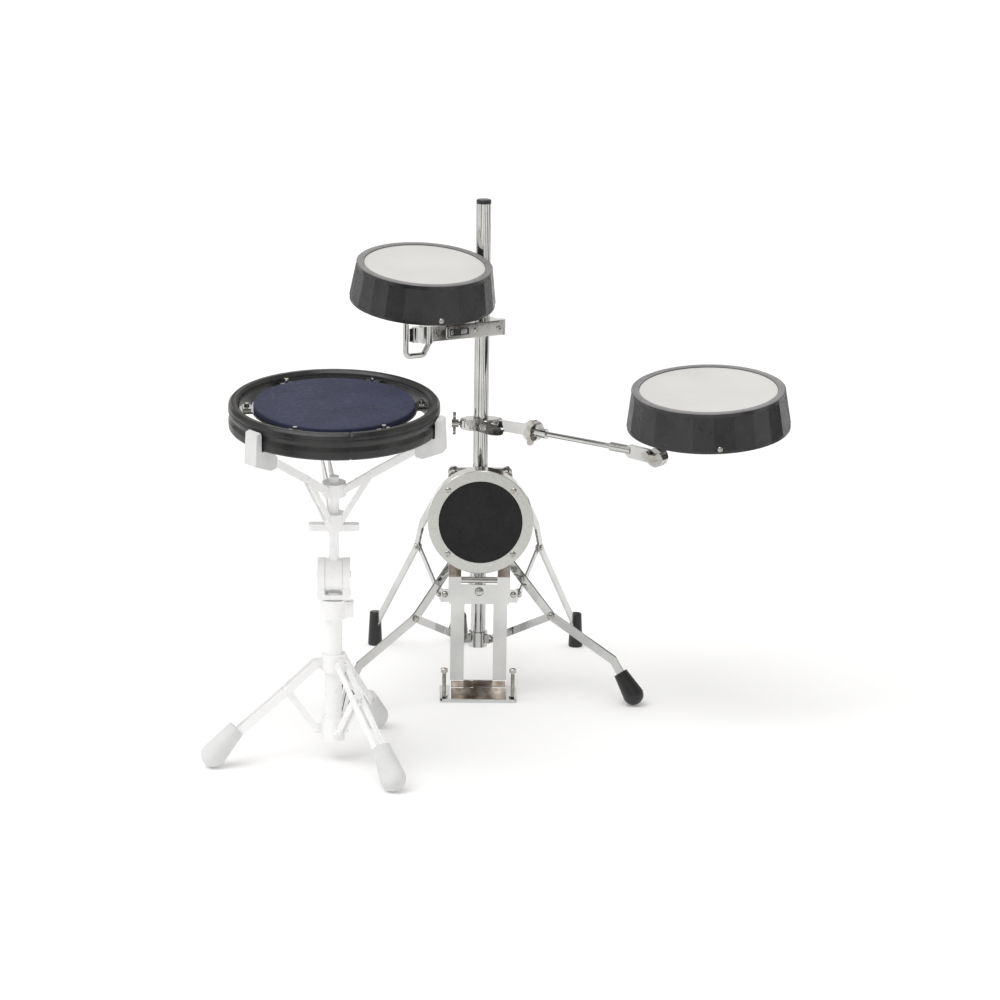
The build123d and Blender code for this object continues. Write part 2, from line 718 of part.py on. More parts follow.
arm_a = (20.0, COL_Y - 4.0, CLAMP_Z)
with BuildPart() as lower_clamp:
    with BuildSketch(Plane.XY.offset(CLAMP_Z - 10)):
        with Locations((1, COL_Y)):
            Ellipse(37, 23)
    extrude(amount=20)
    fillet(lower_clamp.edges().group_by(Axis.Z)[0] + lower_clamp.edges().group_by(Axis.Z)[-1], 5)
    with BuildSketch(Plane(origin=(5.5, COL_Y - 13, CLAMP_Z - 2), x_dir=(1, 0, 0), z_dir=(0, -1, 0))):
        Ellipse(34, 10, rotation=-17)
    extrude(amount=11.5)
    with BuildSketch(Plane.XY.offset(CLAMP_Z - 9)):
        bar((24, COL_Y - 6), off(BALL_A, -HALF_T / 2 - 0.2)[:2], 9)
    extrude(amount=18)
    with BuildSketch(across(BALL_A, -HALF_T - 0.2)):
        Circle(17.5)
    extrude(amount=HALF_T)
    with BuildSketch(across(BALL_A, -30)):
        Circle(4.0 + FIT)
    extrude(amount=40, mode=Mode.SUBTRACT)
    with BuildSketch(across(BALL_A, 0)):
        Circle(18.5)
    extrude(amount=30, mode=Mode.SUBTRACT)
    with BuildSketch(Plane(origin=(3, COL_Y - 22, CLAMP_Z - 2), x_dir=(1, 0, 0), z_dir=(0, -1, 0))):
        Circle(6)
    extrude(amount=6)
    with BuildSketch(Plane.XY.offset(CLAMP_Z - 30)):
        with Locations((0, COL_Y)):
            Circle(COL_R + FIT)
    extrude(amount=60, mode=Mode.SUBTRACT)
    with BuildSketch(Plane(origin=(-60, COL_Y, CLAMP_Z), x_dir=(0, 1, 0), z_dir=(1, 0, 0))):
        Circle(3.5 + FIT)
    extrude(amount=50, mode=Mode.SUBTRACT)
save(lower_clamp, "lower_clamp")

with BuildPart() as clamp_bolt:
    with BuildSketch(Plane(origin=(-13.0, COL_Y, CLAMP_Z), x_dir=(0, 1, 0), z_dir=(-1, 0, 0))):
        Circle(3.5)
    extrude(amount=28)
    with BuildSketch(Plane(origin=(-38.0, COL_Y, CLAMP_Z), x_dir=(0, 1, 0), z_dir=(-1, 0, 0))):
        Circle(7)
    extrude(amount=12)
    with BuildSketch(Plane(origin=(-43.0, COL_Y, CLAMP_Z), x_dir=(0, 1, 0), z_dir=(-1, 0, 0))):
        bar((5, 15), (0, 0), 8)
        bar((-5, -15), (0, 0), 8)
        with Locations((5, 15), (-5, -15)):
            Circle(6)
    extrude(amount=5)
save(clamp_bolt, "clamp_bolt")

HOLDER = off(BALL_A, HALF_T / 2 + 0.2)
ROD_STOP = off(ROD_END, HALF_T / 2 + 0.2)
aim3 = (ROD_STOP[0] - HOLDER[0], ROD_STOP[1] - HOLDER[1], ROD_STOP[2] - HOLDER[2])
aim_len = sqrt(aim3[0] ** 2 + aim3[1] ** 2 + aim3[2] ** 2)
aim3 = (aim3[0] / aim_len, aim3[1] / aim_len, aim3[2] / aim_len)


def on_rod(s):
    """Point on the tom rod's axis, s from the first ratchet."""
    return (HOLDER[0] + aim3[0] * s, HOLDER[1] + aim3[1] * s, HOLDER[2] + aim3[2] * s)


with BuildPart() as tilter_a:
    with BuildSketch(across(BALL_A, 0.2)):
        Circle(17.5)
    extrude(amount=HALF_T)
    rod(on_rod(10), on_rod(32), 8.5)
    with BuildSketch(along(on_rod(13), on_rod(40))):
        Circle(ROD_R + FIT)
    extrude(amount=27, mode=Mode.SUBTRACT)
    with BuildSketch(across(BALL_A, -5)):
        Circle(4.0 + FIT)
    extrude(amount=30, mode=Mode.SUBTRACT)
    with BuildSketch(across(BALL_A, -20)):
        Circle(60)
    extrude(amount=20, mode=Mode.SUBTRACT)
save(tilter_a, "tilter_a")
save(wing(BALL_A, HALF_T + 0.6, 4.0, HALF_T + 0.6, 16, upright=True), "wing_bolt_a")

with BuildPart() as tom2_rod:
    rod(on_rod(14), on_rod(aim_len), ROD_R)
save(tom2_rod, "tom2_rod")

with BuildPart() as rod_bracket:
    rod(on_rod(aim_len - 38), on_rod(aim_len + 3), 7.5)
    with BuildSketch(across(BALL_B, 0.2)):
        bar((-48, 4), (0, 0), 22)
        Circle(16)
    extrude(amount=HALF_T)
    with BuildSketch(across(BALL_B, -5)):
        Circle(3.5 + FIT)
    extrude(amount=30, mode=Mode.SUBTRACT)
    with BuildSketch(along(on_rod(aim_len - 60), on_rod(aim_len))):
        Circle(ROD_R + 0.02)
    extrude(amount=60.1, mode=Mode.SUBTRACT)
save(rod_bracket, "rod_bracket")

with BuildPart() as tilter_b:
    with BuildSketch(across(BALL_B, -0.2)):
        Circle(16)
    extrude(amount=-HALF_T)
    with BuildSketch(Plane.XY.offset(BALL_B[2] + 17.5)):
        with Locations(POST2[:2]):
            Circle(POST2_R)
    extrude(amount=508 - BALL_B[2] - 17.5)
    with BuildSketch(Plane.XY.offset(BALL_B[2])):
        with Locations(POST2[:2]):
            Circle(HALF_T / 2)
    extrude(amount=20)
    with BuildSketch(across(BALL_B, -30)):
        Circle(3.5 + FIT)
    extrude(amount=40, mode=Mode.SUBTRACT)
save(tilter_b, "tilter_b")
save(wing(BALL_B, HALF_T + 0.6, 3.5, HALF_T + 0.6, 13.5), "wing_bolt_b")


# ---------------------------------------------------------------- snare pad
SNARE_TOP = tilted(SNARE, SNARE_N, 0.0)


def turned(plane, points, mode=Mode.ADD):
    """Solid of revolution about the plane's z axis from (radius, height) points."""
    section = Plane(origin=plane.origin, x_dir=plane.x_dir, z_dir=-plane.y_dir)
    with BuildSketch(section) as profile:
        with BuildLine():
            Polyline(*points, close=True)
        make_face()
    revolve(profile.sketch, axis=Axis(plane.origin, plane.z_dir), mode=mode)


with BuildPart() as snare_hoop:
    turned(SNARE_TOP, [(152, -38), (160, -HOOP_H), (166, -HOOP_H), (168.5, -41), (169, -26), (166, -22),
                       (169, -18), (169, -5), (164.5, 0), (157, 0), (152, -5)])
save(snare_hoop, "snare_hoop")

with BuildPart() as snare_plate:
    with BuildSketch(SNARE_TOP.offset(-15)):
        Circle(132)
        with PolarLocations(138, 6, start_angle=5):
            Rectangle(40, 34)
        Circle(151.9, mode=Mode.INTERSECT)
    extrude(amount=3)
save(snare_plate, "snare_plate")

with BuildPart() as snare_pad:
    turned(SNARE_TOP, [(0, -12), (SNARE_PAD_R, -12), (SNARE_PAD_R, -5), (SNARE_PAD_R - 1.5, -3.5), (0, -3.5)])
save(snare_pad, "snare_pad")

with BuildPart() as snare_lugs:
    with BuildSketch(SNARE_TOP.offset(-12)):
        with PolarLocations(139.5, 6, start_angle=5):
            Rectangle(13, 24)
    extrude(amount=4)
    with BuildSketch(SNARE_TOP.offset(-8)):
        with PolarLocations(139.5, 6, start_angle=5):
            Circle(4.5)
    extrude(amount=6, taper=10)
save(snare_lugs, "snare_lugs")


# ---------------------------------------------------------------- snare stand
def ring_on(x, y, z0, z1, r_out, r_in):
    with BuildSketch(Plane.XY.offset(z0)) as ring:
        with Locations((x, y)):
            Circle(r_out)
            if r_in:
                Circle(r_in, mode=Mode.SUBTRACT)
    extrude(ring.sketch, amount=z1 - z0)


TUBE_R = 14.3
MAST_R = 12.0
TILT_Z = 314.0
KNEE_S = (78.0, 124.0)
END_S = (190.0, 32.0)
HUB_S = (30.0, 166.0)
LOW_S = (28.0, 56.0)

with BuildPart() as stand_tube:
    ring_on(STAND_X, STAND_Y, 38, 262, TUBE_R, MAST_R + FIT)
save(stand_tube, "stand_tube")

with BuildPart() as stand_tripod:
    ring_on(STAND_X, STAND_Y, 152, 181, 20, TUBE_R + 0.02)
    ring_on(STAND_X, STAND_Y, 36, 74, 19, TUBE_R + 0.02)
    for az in STAND_AZ:
        for side in (-1, 1):
            with BuildSketch(radial_plane(az, STAND_X, STAND_Y, side * 8.0)):
                bar(HUB_S, KNEE_S, 13)
                bar(KNEE_S, END_S, 13)
            extrude(amount=1.5, both=True)
            with BuildSketch(radial_plane(az, STAND_X, STAND_Y, side * 4.4)):
                bar(KNEE_S, LOW_S, 11)
            extrude(amount=1.5, both=True)
        for where in (HUB_S, KNEE_S, LOW_S, END_S):
            with BuildSketch(radial_plane(az, STAND_X, STAND_Y)):
                with Locations(where):
                    Circle(3)
            extrude(amount=12, both=True)
        for z_mid, tall in ((166, 18), (56, 16)):
            with BuildSketch(radial_plane(az, STAND_X, STAND_Y)):
                with Locations((22, z_mid)):
                    Rectangle(14, tall)
            extrude(amount=2.5, both=True)
    with BuildSketch(Plane.XY.offset(20)):
        with Locations((STAND_X, STAND_Y)):
            Circle(TUBE_R + 0.02)
    extrude(amount=200, mode=Mode.SUBTRACT)
save(stand_tripod, "stand_tripod")

with BuildPart() as stand_feet:
    for az in STAND_AZ:
        up = radial_plane(az, STAND_X, STAND_Y)
        p = up.from_local_coords(Vector(160, 64, 0))
        q = up.from_local_coords(Vector(198, 22, 0))
        with BuildSketch(Plane(origin=p, z_dir=q - p)):
            Circle(14.5)
        with BuildSketch(Plane(origin=q, z_dir=q - p)):
            Circle(21)
        loft()
        with Locations(q):
            Sphere(21)
    with BuildSketch():
        with Locations((STAND_X, STAND_Y)):
            Rectangle(700, 700)
    extrude(amount=-80, mode=Mode.SUBTRACT)
    for az in STAND_AZ:
        for side in (-1, 1):
            with BuildSketch(radial_plane(az, STAND_X, STAND_Y, side * 8.0)):
                bar(KNEE_S, END_S, 13)
            extrude(amount=1.5, both=True, mode=Mode.SUBTRACT)
        with BuildSketch(radial_plane(az, STAND_X, STAND_Y)):
            with Locations(END_S):
                Circle(3)
        extrude(amount=12, both=True, mode=Mode.SUBTRACT)
save(stand_feet, "stand_feet")

with BuildPart() as height_clamp:
    ring_on(STAND_X, STAND_Y, 241, 272, 21, 0)
    with BuildSketch(Plane.XY.offset(243)):
        with Locations((STAND_X + 24, STAND_Y)):
            RectangleRounded(16, 20, 3)
    extrude(amount=26)
    ring = Plane.XY.offset(240)
    with BuildSketch(ring):
        with Locations((STAND_X, STAND_Y)):
            Circle(TUBE_R + 0.02)
    extrude(amount=22, mode=Mode.SUBTRACT)
    with BuildSketch(ring):
        with Locations((STAND_X, STAND_Y)):
            Circle(MAST_R + FIT)
    extrude(amount=40, mode=Mode.SUBTRACT)
save(height_clamp, "height_clamp")

TILT_PLANE = Plane(origin=(STAND_X, STAND_Y, TILT_Z), x_dir=(0, 1, 0), z_dir=(1, 0, 0))
with BuildPart() as stand_mast:
    ring_on(STAND_X, STAND_Y, 110, 284, MAST_R, 0)
    with BuildSketch(Plane.XY.offset(274)):
        with Locations((STAND_X, STAND_Y)):
            Rectangle(54, 34)
    extrude(amount=8)
    for side in (-1, 1):
        with BuildSketch(TILT_PLANE.offset(side * 14.3)):
            Circle(27)
            with Locations((0, -22)):
                Rectangle(34, 34)
        extrude(amount=side * 12)
    with BuildSketch(TILT_PLANE.offset(-28)):
        Circle(5)
    extrude(amount=56)
    with BuildSketch(TILT_PLANE.offset(-14.3)):
        Circle(31)
    extrude(amount=28.6, mode=Mode.SUBTRACT)
    with BuildSketch(TILT_PLANE.offset(-20)):
        Circle(5)
    extrude(amount=40)
save(stand_mast, "stand_mast")

B = SNARE_TOP
PIVOT_H = (TILT_Z - SNARE[2]) / B.z_dir.Z      # tilter pivot, down the basket's axis


def basket_plane(az, shift=0.0):
    """Plane through the basket axis, local x outward at az from the front, local y along the axis."""
    a = radians(az)
    out = B.x_dir * sin(a) - B.y_dir * cos(a)
    n = out.cross(B.z_dir)
    return Plane(origin=B.origin + n * shift, x_dir=out, z_dir=n)


with BuildPart() as basket:
    with BuildSketch(B.offset(PIVOT_H + 20)):
        Circle(8)
    extrude(amount=-PIVOT_H - 20 - 128)
    with BuildSketch(TILT_PLANE.offset(-14.0)):
        Circle(26)
        Circle(5 + FIT, mode=Mode.SUBTRACT)
    extrude(amount=28.0)
    for height, radius, tall in ((-160, 19, 22), (-208, 17, 18)):
        with BuildSketch(B.offset(height)):
            Circle(radius)
        extrude(amount=tall)
    for az in BASKET_AZ:
        for side in (-1, 1):
            with BuildSketch(basket_plane(az, side * 5.5)):
                bar((16, -150), (62, -118), 11)
                bar((62, -118), (150, -60), 12)
                bar((14, -200), (58, -124), 9)
            extrude(amount=1.3, both=True)
        for where in ((16, -150), (62, -118), (14, -200), (140, -67)):
            with BuildSketch(basket_plane(az)):
                with Locations(where):
                    Circle(2.6)
            extrude(amount=8, both=True)
save(basket, "basket")

with BuildPart() as basket_grips:
    for az in BASKET_AZ:
        with BuildSketch(basket_plane(az)):
            with BuildLine():
                Polyline((138, -78), (150, -80), (183, -66), (180, -14), (172, -12), (169.8, -18),
                         (169.8, -HOOP_H - 0.5), (150, -HOOP_H - 0.5), (136, -60), close=True)
            make_face()
        extrude(amount=13, both=True)
    for az in BASKET_AZ:
        for side in (-1, 1):
            with BuildSketch(basket_plane(az, side * 5.5)):
                bar((62, -118), (150, -60), 12)
            extrude(amount=1.3, both=True, mode=Mode.SUBTRACT)
        with BuildSketch(basket_plane(az)):
            with Locations((140, -67)):
                Circle(2.6)
        extrude(amount=8, both=True, mode=Mode.SUBTRACT)
save(basket_grips, "basket_grips")

with BuildPart() as basket_nut:
    with BuildSketch(B.offset(-220)):
        Circle(14)
        bar((-34, 0), (34, 0), 14)
    extrude(amount=11.5)
    with BuildSketch(B.offset(-230)):
        Circle(8 + FIT)
    extrude(amount=40, mode=Mode.SUBTRACT)
save(basket_nut, "basket_nut")
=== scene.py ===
import json
import math

import bpy
from mathutils import Matrix, Vector


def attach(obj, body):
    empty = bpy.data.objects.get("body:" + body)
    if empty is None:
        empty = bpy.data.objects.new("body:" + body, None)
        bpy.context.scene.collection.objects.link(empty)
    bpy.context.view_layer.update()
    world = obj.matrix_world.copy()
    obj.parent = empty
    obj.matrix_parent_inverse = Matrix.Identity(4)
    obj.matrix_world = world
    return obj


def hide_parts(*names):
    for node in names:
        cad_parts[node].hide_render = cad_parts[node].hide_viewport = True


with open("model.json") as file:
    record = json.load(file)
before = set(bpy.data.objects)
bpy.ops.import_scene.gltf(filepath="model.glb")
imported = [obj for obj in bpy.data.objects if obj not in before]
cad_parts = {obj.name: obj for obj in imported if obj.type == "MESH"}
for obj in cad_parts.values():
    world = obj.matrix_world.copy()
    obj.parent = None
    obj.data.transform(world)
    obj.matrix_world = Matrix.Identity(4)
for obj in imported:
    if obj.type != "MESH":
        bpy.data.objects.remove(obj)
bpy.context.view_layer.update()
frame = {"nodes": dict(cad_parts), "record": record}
nodes = frame["nodes"]

# Metres, in the CAD's own frame: origin on the floor under the kick base plate, +Z up, player at -Y.

# ---------------------------------------------------------------- sizes and places
UP = Vector((0.0, 0.0, 1.0))
FRONT = Vector((0.0, -1.0, 0.0))
COLUMN = Vector((0.0, 0.062, 0.0))

KICK_FRONT = -0.041            # front face of the kick ring
KICK_MID_Z = 0.317
KICK_SCREW_CIRCLE = 0.0785
KICK_SCREW_R = 0.0052
KICK_SCREW_RISE = 0.0026
KICK_PAD_R = 0.0713

TOM_1 = {"head": Vector((-0.0996, -0.043, 0.7616)), "axis": Vector((0.052, -0.152, 0.987)),
         "r_low": 0.1225, "height": 0.065, "r_head": 0.1015, "screw_side": 0.0326}
TOM_2 = {"head": Vector((0.3773, -0.110, 0.5666)), "axis": Vector((-0.035, -0.126, 0.991)),
         "r_low": 0.1375, "height": 0.066, "r_head": 0.1160, "screw_side": 0.0095}
TOM_SCREW_R = 0.0048
TOM_SCREW_RISE = 0.0030
TOM_SCREW_UP = 0.0078          # above the shell's lower edge
TOM_SCREW_SUNK = 0.0006

SNARE = Vector((-0.2424, -0.4233, 0.6075))
SNARE_AXIS = Vector((0.0, -0.1132, 0.9936))
SNARE_PAD_R = 0.129
SNARE_SEAM_TURN = math.radians(10.0)   # the cover's seam, right of the front

BAR_A = Vector((-0.113, -0.0255, 0.638))     # the first tom clamp's bar
BAR_B = Vector((0.032, 0.0556, 0.638))
BAR_HALF = 0.0075
FAST_CLAMP_SCREW = (0.0048, 0.0030)          # radius and rise of its cross screw
BALL_A = Vector((0.088, 0.002, 0.468))       # first ratchet
BALL_B = Vector((0.292, -0.143, 0.457))      # second ratchet
ACROSS_ROD = Vector((-0.5788, -0.8154, 0.0))
SPIKE = Vector((0.059, -0.034, 0.0))
SPIKE_THREAD_Z = 0.0100
CLAMP_BOLT = Vector((-0.0375, 0.062, 0.467))    # where the thread of the pipe clamp's bolt starts

FRAME_SCREW = Vector((0.0, 0.002, 0.184))
SADDLE_BOLT = Vector((0.046, 0.031, 0.378))  # front of the right bolt's head
CLAMP_SCREW = Vector((0.003, 0.034, 0.465))
LEG_TURNS = {"a": 66.2, "b": 186.2, "c": -53.8}      # degrees from the front
LEG_RIVET_R = 0.136                          # from the column's axis
LEG_RIVET_Z = 0.141
RIVET_FACES = (0.0054, -0.0042)              # where the rivet heads sit, off the leg's plane

# ---------------------------------------------------------------- camera
VIEW_TURN = math.radians(-1.3)
VIEW_DOWN = math.radians(13.3)
VIEW_ROLL = math.radians(0.85)
VIEW_DISTANCE = 7.0
LENS = 146.5                   # on a 36 mm sensor
COLUMN_MID = COLUMN + Vector((0.0, 0.0, 0.430))
AIM_RIGHT = 0.0334             # the view's centre, from the column's middle
AIM_DOWN = 0.0955


# ---------------------------------------------------------------- node helpers
class Look:
    """A Principled material and the few node patterns that the finishes share."""

    def __init__(self, name, rough, metallic=0.0, specular=0.5):
        self.material = bpy.data.materials.new(name)
        self.material.use_nodes = True
        self.tree = self.material.node_tree
        self.shader = self.tree.nodes["Principled BSDF"]
        self.shader.inputs["Metallic"].default_value = metallic
        self.shader.inputs["Roughness"].default_value = rough
        self.shader.inputs["Specular IOR Level"].default_value = specular
        self.place = self.tree.nodes.new("ShaderNodeTexCoord").outputs["Object"]
        self.relief = None

    def link(self, a, b):
        self.tree.links.new(a, b)

    def stretched(self, scale):
        node = self.tree.nodes.new("ShaderNodeMapping")
        node.inputs["Scale"].default_value = scale
        self.link(self.place, node.inputs["Vector"])
        return node.outputs["Vector"]

    def noise(self, scale, detail=3.0, stretch=None):
        node = self.tree.nodes.new("ShaderNodeTexNoise")
        node.inputs["Scale"].default_value = scale
        node.inputs["Detail"].default_value = detail
        self.link(self.stretched(stretch) if stretch else self.place, node.inputs["Vector"])
        return node.outputs["Fac"]

    def cells(self, scale):
        node = self.tree.nodes.new("ShaderNodeTexVoronoi")
        node.inputs["Scale"].default_value = scale
        self.link(self.place, node.inputs["Vector"])
        return node.outputs["Distance"]

    def bands(self, scale, direction):
        node = self.tree.nodes.new("ShaderNodeTexWave")
        node.bands_direction = direction
        node.inputs["Scale"].default_value = scale
        node.inputs["Distortion"].default_value = 0.6
        self.link(self.place, node.inputs["Vector"])
        return node.outputs["Fac"]

    def multiply(self, a, b):
        node = self.tree.nodes.new("ShaderNodeMath")
        node.operation = "MULTIPLY"
        self.link(a, node.inputs[0])
        self.link(b, node.inputs[1])
        return node.outputs[0]

    def colours(self, value, low, high, start=0.35, end=0.65):
        node = self.tree.nodes.new("ShaderNodeValToRGB")
        node.color_ramp.elements[0].position = start
        node.color_ramp.elements[1].position = end
        node.color_ramp.elements[0].color = (*low, 1.0)
        node.color_ramp.elements[1].color = (*high, 1.0)
        self.link(value, node.inputs["Fac"])
        self.link(node.outputs["Color"], self.shader.inputs["Base Color"])

    def roughness(self, value, low, high):
        node = self.tree.nodes.new("ShaderNodeMapRange")
        node.inputs["From Min"].default_value = 0.3
        node.inputs["From Max"].default_value = 0.7
        node.inputs["To Min"].default_value = low
        node.inputs["To Max"].default_value = high
        self.link(value, node.inputs["Value"])
        self.link(node.outputs["Result"], self.shader.inputs["Roughness"])

    def bump(self, value, depth, strength=1.0):
        """Adds relief of this depth in metres; a second call lies on the first."""
        node = self.tree.nodes.new("ShaderNodeBump")
        node.inputs["Distance"].default_value = depth
        node.inputs["Strength"].default_value = strength
        self.link(value, node.inputs["Height"])
        if self.relief is not None:
            self.link(self.relief, node.inputs["Normal"])
        self.relief = node.outputs["Normal"]
        self.link(self.relief, self.shader.inputs["Normal"])


def chrome_plate():
    look = Look("chrome_plate", 0.08, metallic=1.0)
    look.colours(look.noise(14), (0.53, 0.53, 0.525), (0.63, 0.63, 0.62))
    look.roughness(look.noise(60, 6), 0.045, 0.13)
    look.bump(look.noise(220, 2), 0.00002)
    return look.material


def satin_plate():
    look = Look("satin_plate", 0.3, metallic=1.0)
    look.colours(look.noise(900, 2), (0.545, 0.545, 0.52), (0.615, 0.615, 0.59))
    look.roughness(look.noise(400, 4), 0.24, 0.36)
    look.bump(look.noise(1300, 2), 0.000015)
    return look.material


def painted_reflection_plate():
    """Chrome painted a mottled dark brown: a painted reflection of darker surroundings."""
    look = Look("painted_reflection_plate", 0.3, metallic=1.0)
    look.colours(look.noise(38, 5), (0.115, 0.090, 0.070), (0.36, 0.32, 0.28), 0.38, 0.62)
    look.roughness(look.noise(90, 4), 0.22, 0.40)
    look.bump(look.noise(500, 3), 0.00003)
    return look.material


def bolt_steel():
    look = Look("bolt_steel", 0.2, metallic=1.0)
    look.colours(look.noise(80), (0.40, 0.385, 0.36), (0.56, 0.545, 0.52))
    look.roughness(look.noise(300, 4), 0.10, 0.22)
    look.bump(look.noise(700, 3), 0.00003)
    return look.material


def black_rubber():
    look = Look("black_rubber", 0.4, specular=0.5)
    look.colours(look.noise(35, 4), (0.0095, 0.0095, 0.0098), (0.017, 0.0168, 0.017))
    look.roughness(look.noise(90, 4), 0.26, 0.40)
    look.bump(look.noise(1600, 2), 0.00005)
    return look.material


def shell_plastic():
    look = Look("shell_plastic", 0.32, specular=0.5)
    look.colours(look.noise(25, 4), (0.014, 0.0137, 0.015), (0.023, 0.0222, 0.024))
    look.roughness(look.noise(70, 4), 0.24, 0.36)
    look.bump(look.noise(1100, 2), 0.00001)
    return look.material


# The rim's black plastic painted grey: a painted sheen for the light it catches at a grazing angle.
def rim_painted_sheen():
    look = Look("rim_painted_sheen", 0.3, specular=0.5)
    look.colours(look.noise(25, 4), (0.190, 0.186, 0.190), (0.240, 0.235, 0.240))
    look.roughness(look.noise(70, 4), 0.24, 0.36)
    look.bump(look.noise(900, 2), 0.00001)
    return look.material


def coated_head():
    look = Look("coated_head", 0.5, specular=0.35)
    look.colours(look.noise(10, 5), (0.66, 0.652, 0.64), (0.70, 0.694, 0.682))
    look.roughness(look.noise(120, 4), 0.44, 0.60)
    look.bump(look.cells(1100), 0.00005)
    return look.material


def pad_blue():
    look = Look("pad_blue", 0.6, specular=0.35)
    look.colours(look.noise(18, 5), (0.024, 0.028, 0.062), (0.034, 0.039, 0.082))
    look.roughness(look.noise(160, 3), 0.5, 0.66)
    look.bump(look.multiply(look.bands(210, "X"), look.bands(210, "Y")), 0.00010)
    return look.material


def pad_black():
    look = Look("pad_black", 0.65, specular=0.3)
    look.colours(look.noise(30, 5), (0.0090, 0.0090, 0.0098), (0.0135, 0.0135, 0.0145))
    look.roughness(look.noise(150, 3), 0.55, 0.72)
    look.bump(look.multiply(look.bands(260, "X"), look.bands(260, "Z")), 0.00007)
    return look.material


def foam():
    look = Look("foam", 0.95, specular=0.1)
    # Grey-black foam, painted darker in the pits where the bump sinks: painted shade in its pores.
    look.colours(look.cells(700), (0.02, 0.02, 0.02), (0.10, 0.10, 0.10), 0.1, 0.6)
    look.bump(look.cells(700), 0.0004)
    return look.material


def white_coat():
    look = Look("white_coat", 0.3)
    look.colours(look.noise(12, 4), (0.91, 0.91, 0.915), (0.95, 0.95, 0.95))
    look.roughness(look.noise(80, 4), 0.24, 0.4)
    look.bump(look.noise(650, 2), 0.00006)
    return look.material


def grey_rubber():
    look = Look("grey_rubber", 0.6, specular=0.35)
    look.colours(look.noise(30, 4), (0.66, 0.66, 0.665), (0.72, 0.72, 0.725))
    look.roughness(look.noise(100, 4), 0.5, 0.68)
    look.bump(look.noise(1400, 2), 0.00005)
    return look.material


LOOKS = {"chrome": chrome_plate(), "satin": satin_plate(), "painted_reflection": painted_reflection_plate(), "steel": bolt_steel(),
         "rubber": black_rubber(), "plastic": shell_plastic(), "rim": rim_painted_sheen(),
         "head": coated_head(), "blue": pad_blue(), "pad": pad_black(),
         "foam": foam(), "coat": white_coat(), "grey": grey_rubber()}

BY_SLOT = {"chrome": "chrome", "steel": "steel", "black_rubber": "rubber", "black_plastic": "plastic",
           "white_head": "head", "foam": "foam", "blue_pad": "blue", "white_coat": "coat",
           "grey_rubber": "grey"}
BY_NODE = {"kick_ring": "satin"}

for part in frame["record"]["subparts"]:
    name = part["node"]
    look = LOOKS[BY_NODE.get(name, BY_SLOT[part["material_slot"]])]
    for place in nodes[name].material_slots:
        place.material = look


# ---------------------------------------------------------------- mesh helpers
def basis(origin, axis):
    """A frame at origin whose z is the axis and whose x stays level."""
    z = axis.normalized()
    x = Vector((z.z, 0.0, -z.x)).normalized() if abs(z.y) < 0.9 else Vector((1.0, 0.0, 0.0))
    y = z.cross(x).normalized()
    x = y.cross(z)
    turn = Matrix((x, y, z)).transposed().to_4x4()
    return Matrix.Translation(origin) @ turn


def piece(name, verts, faces, look, body, slot, smooth=True):
    """Makes a mesh object that rides on a body."""
    mesh = bpy.data.meshes.new(name)
    mesh.from_pydata([tuple(v) for v in verts], [], faces)
    mesh.validate()
    for polygon in mesh.polygons:
        polygon.use_smooth = smooth
    mesh.materials.append(LOOKS[look])
    made = bpy.data.objects.new(name, mesh)
    bpy.context.scene.collection.objects.link(made)
    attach(made, body)
    return made


def turned(place, profile, count, closed, wobble=None):
    """Revolves (radius, height) points about the z axis of place; wobble moves a point by its angle."""
    verts = []
    for i in range(count):
        a = 2 * math.pi * i / count
        for k, (r, z) in enumerate(profile):
            if wobble:
                r, z = wobble(k, r, z, a)
            verts.append(place @ Vector((r * math.cos(a), r * math.sin(a), z)))
    m = len(profile)
    faces = []
    for i in range(count):
        j = (i + 1) % count
        for k in range(m if closed else m - 1):
            n = (k + 1) % m
            faces.append((i * m + k, j * m + k, j * m + n, i * m + n))
    if not closed:
        faces.append([i * m for i in reversed(range(count))])
        faces.append([i * m + m - 1 for i in range(count)])
    return verts, faces


def round_corner(points, radius, steps=4):
    """Rounds the inner corners of an open run of (r, z) points."""
    out = [points[0]]
    for before, here, after in zip(points, points[1:], points[2:]):
        h = Vector(here)
        a, b = Vector(before) - h, Vector(after) - h
        reach = min(radius, 0.45 * a.length, 0.45 * b.length)
        p, q = h + a.normalized() * reach, h + b.normalized() * reach
        for i in range(steps + 1):
            t = i / steps
            out.append(tuple(p * (1 - t) ** 2 + h * 2 * t * (1 - t) + q * t * t))
    out.append(points[-1])
    return out


def cross_screw(name, origin, axis, radius, height, body):
    """A domed screw head with a cross recess."""
    place = basis(origin, axis)
    rings, count = 14, 64
    verts, faces = [place @ Vector((0.0, 0.0, height * 0.45))], []
    for i in range(1, rings + 1):
        r = radius * i / rings
        dome = height * math.sqrt(max(0.0, 1 - (r / radius) ** 2 * 0.98))
        for j in range(count):
            a = 2 * math.pi * j / count
            x, y = r * math.cos(a), r * math.sin(a)
            arm = min(abs(x), abs(y)) < radius * 0.13 and r < radius * 0.58
            verts.append(place @ Vector((x, y, dome - (height * 0.55 if arm else 0.0))))
    low = len(verts)
    for j in range(count):
        a = 2 * math.pi * j / count
        verts.append(place @ Vector((radius * math.cos(a), radius * math.sin(a), 0.0)))
    for j in range(count):
        k = (j + 1) % count
        faces.append((0, 1 + j, 1 + k))
        for i in range(rings):
            a, b = 1 + i * count, 1 + (i + 1) * count
            faces.append((a + j, b + j, b + k, a + k))
    faces.append([low + j for j in reversed(range(count))])
    return piece(name, verts, faces, "steel", body, "steel")


